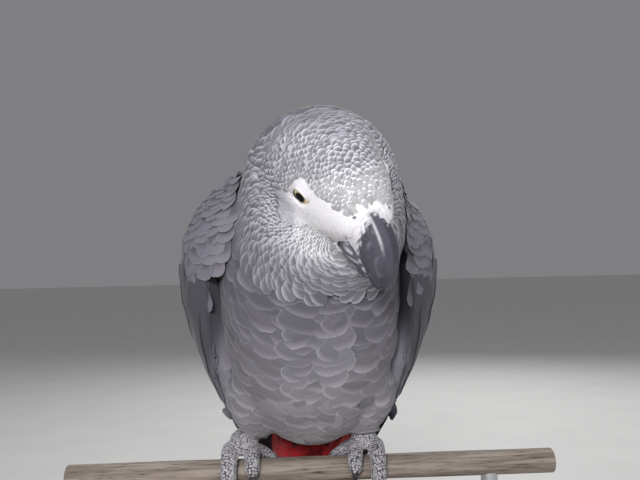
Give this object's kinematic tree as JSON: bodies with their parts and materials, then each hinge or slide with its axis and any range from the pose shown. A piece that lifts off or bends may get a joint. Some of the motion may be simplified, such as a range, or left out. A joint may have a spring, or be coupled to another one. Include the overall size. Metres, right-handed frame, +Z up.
{
  "type": "grey parrot",
  "caption": "Life-size still model of a grey parrot with raised feathers, head bowed and turned, gripping a short perch on a plain display stand.",
  "frame": {"origin": "centre of the stand base's underside, on the surface that it stands on", "axes": "+Z up, -Y the way the bird's body faces, +X the bird's left, along the perch"},
  "size_m": [0.23, 0.19, 0.273],
  "materials": {
    "hood_feathers": "matte, small scaled feathers",
    "body_feathers": "matte, soft feathers",
    "wing_feathers": "matte, smooth vanes",
    "tail_feathers": "matte, smooth vanes",
    "horn": "dull horn, powdery and streaked",
    "eye": "wet gloss",
    "foot_skin": "dry scales with dark gaps",
    "perch_wood": "bare weathered dowel",
    "base_wood": "black satin lacquer",
    "rod_metal": "black satin"
  },
  "bodies": {
    "root": {"bill_lower": "horn", "bill_upper": "horn", "claw_1_left": "horn", "claw_1_right": "horn", "claw_2_left": "horn", "claw_2_right": "horn", "claw_3_left": "horn", "claw_3_right": "horn", "claw_4_left": "horn", "claw_4_right": "horn", "eye_left": "eye", "eye_right": "eye", "head": "hood_feathers", "neck": "hood_feathers", "perch": "perch_wood", "shank_left": "foot_skin", "shank_right": "foot_skin", "stand_base": "base_wood", "stand_rod_left": "rod_metal", "stand_rod_right": "rod_metal", "tail": "tail_feathers", "tail_coverts": "tail_feathers", "thigh_left": "body_feathers", "thigh_right": "body_feathers", "toe_1_left": "foot_skin", "toe_1_right": "foot_skin", "toe_2_left": "foot_skin", "toe_2_right": "foot_skin", "toe_3_left": "foot_skin", "toe_3_right": "foot_skin", "toe_4_left": "foot_skin", "toe_4_right": "foot_skin", "trunk": "body_feathers", "wing_left": "wing_feathers", "wing_right": "wing_feathers"}
  },
  "joints": []
}
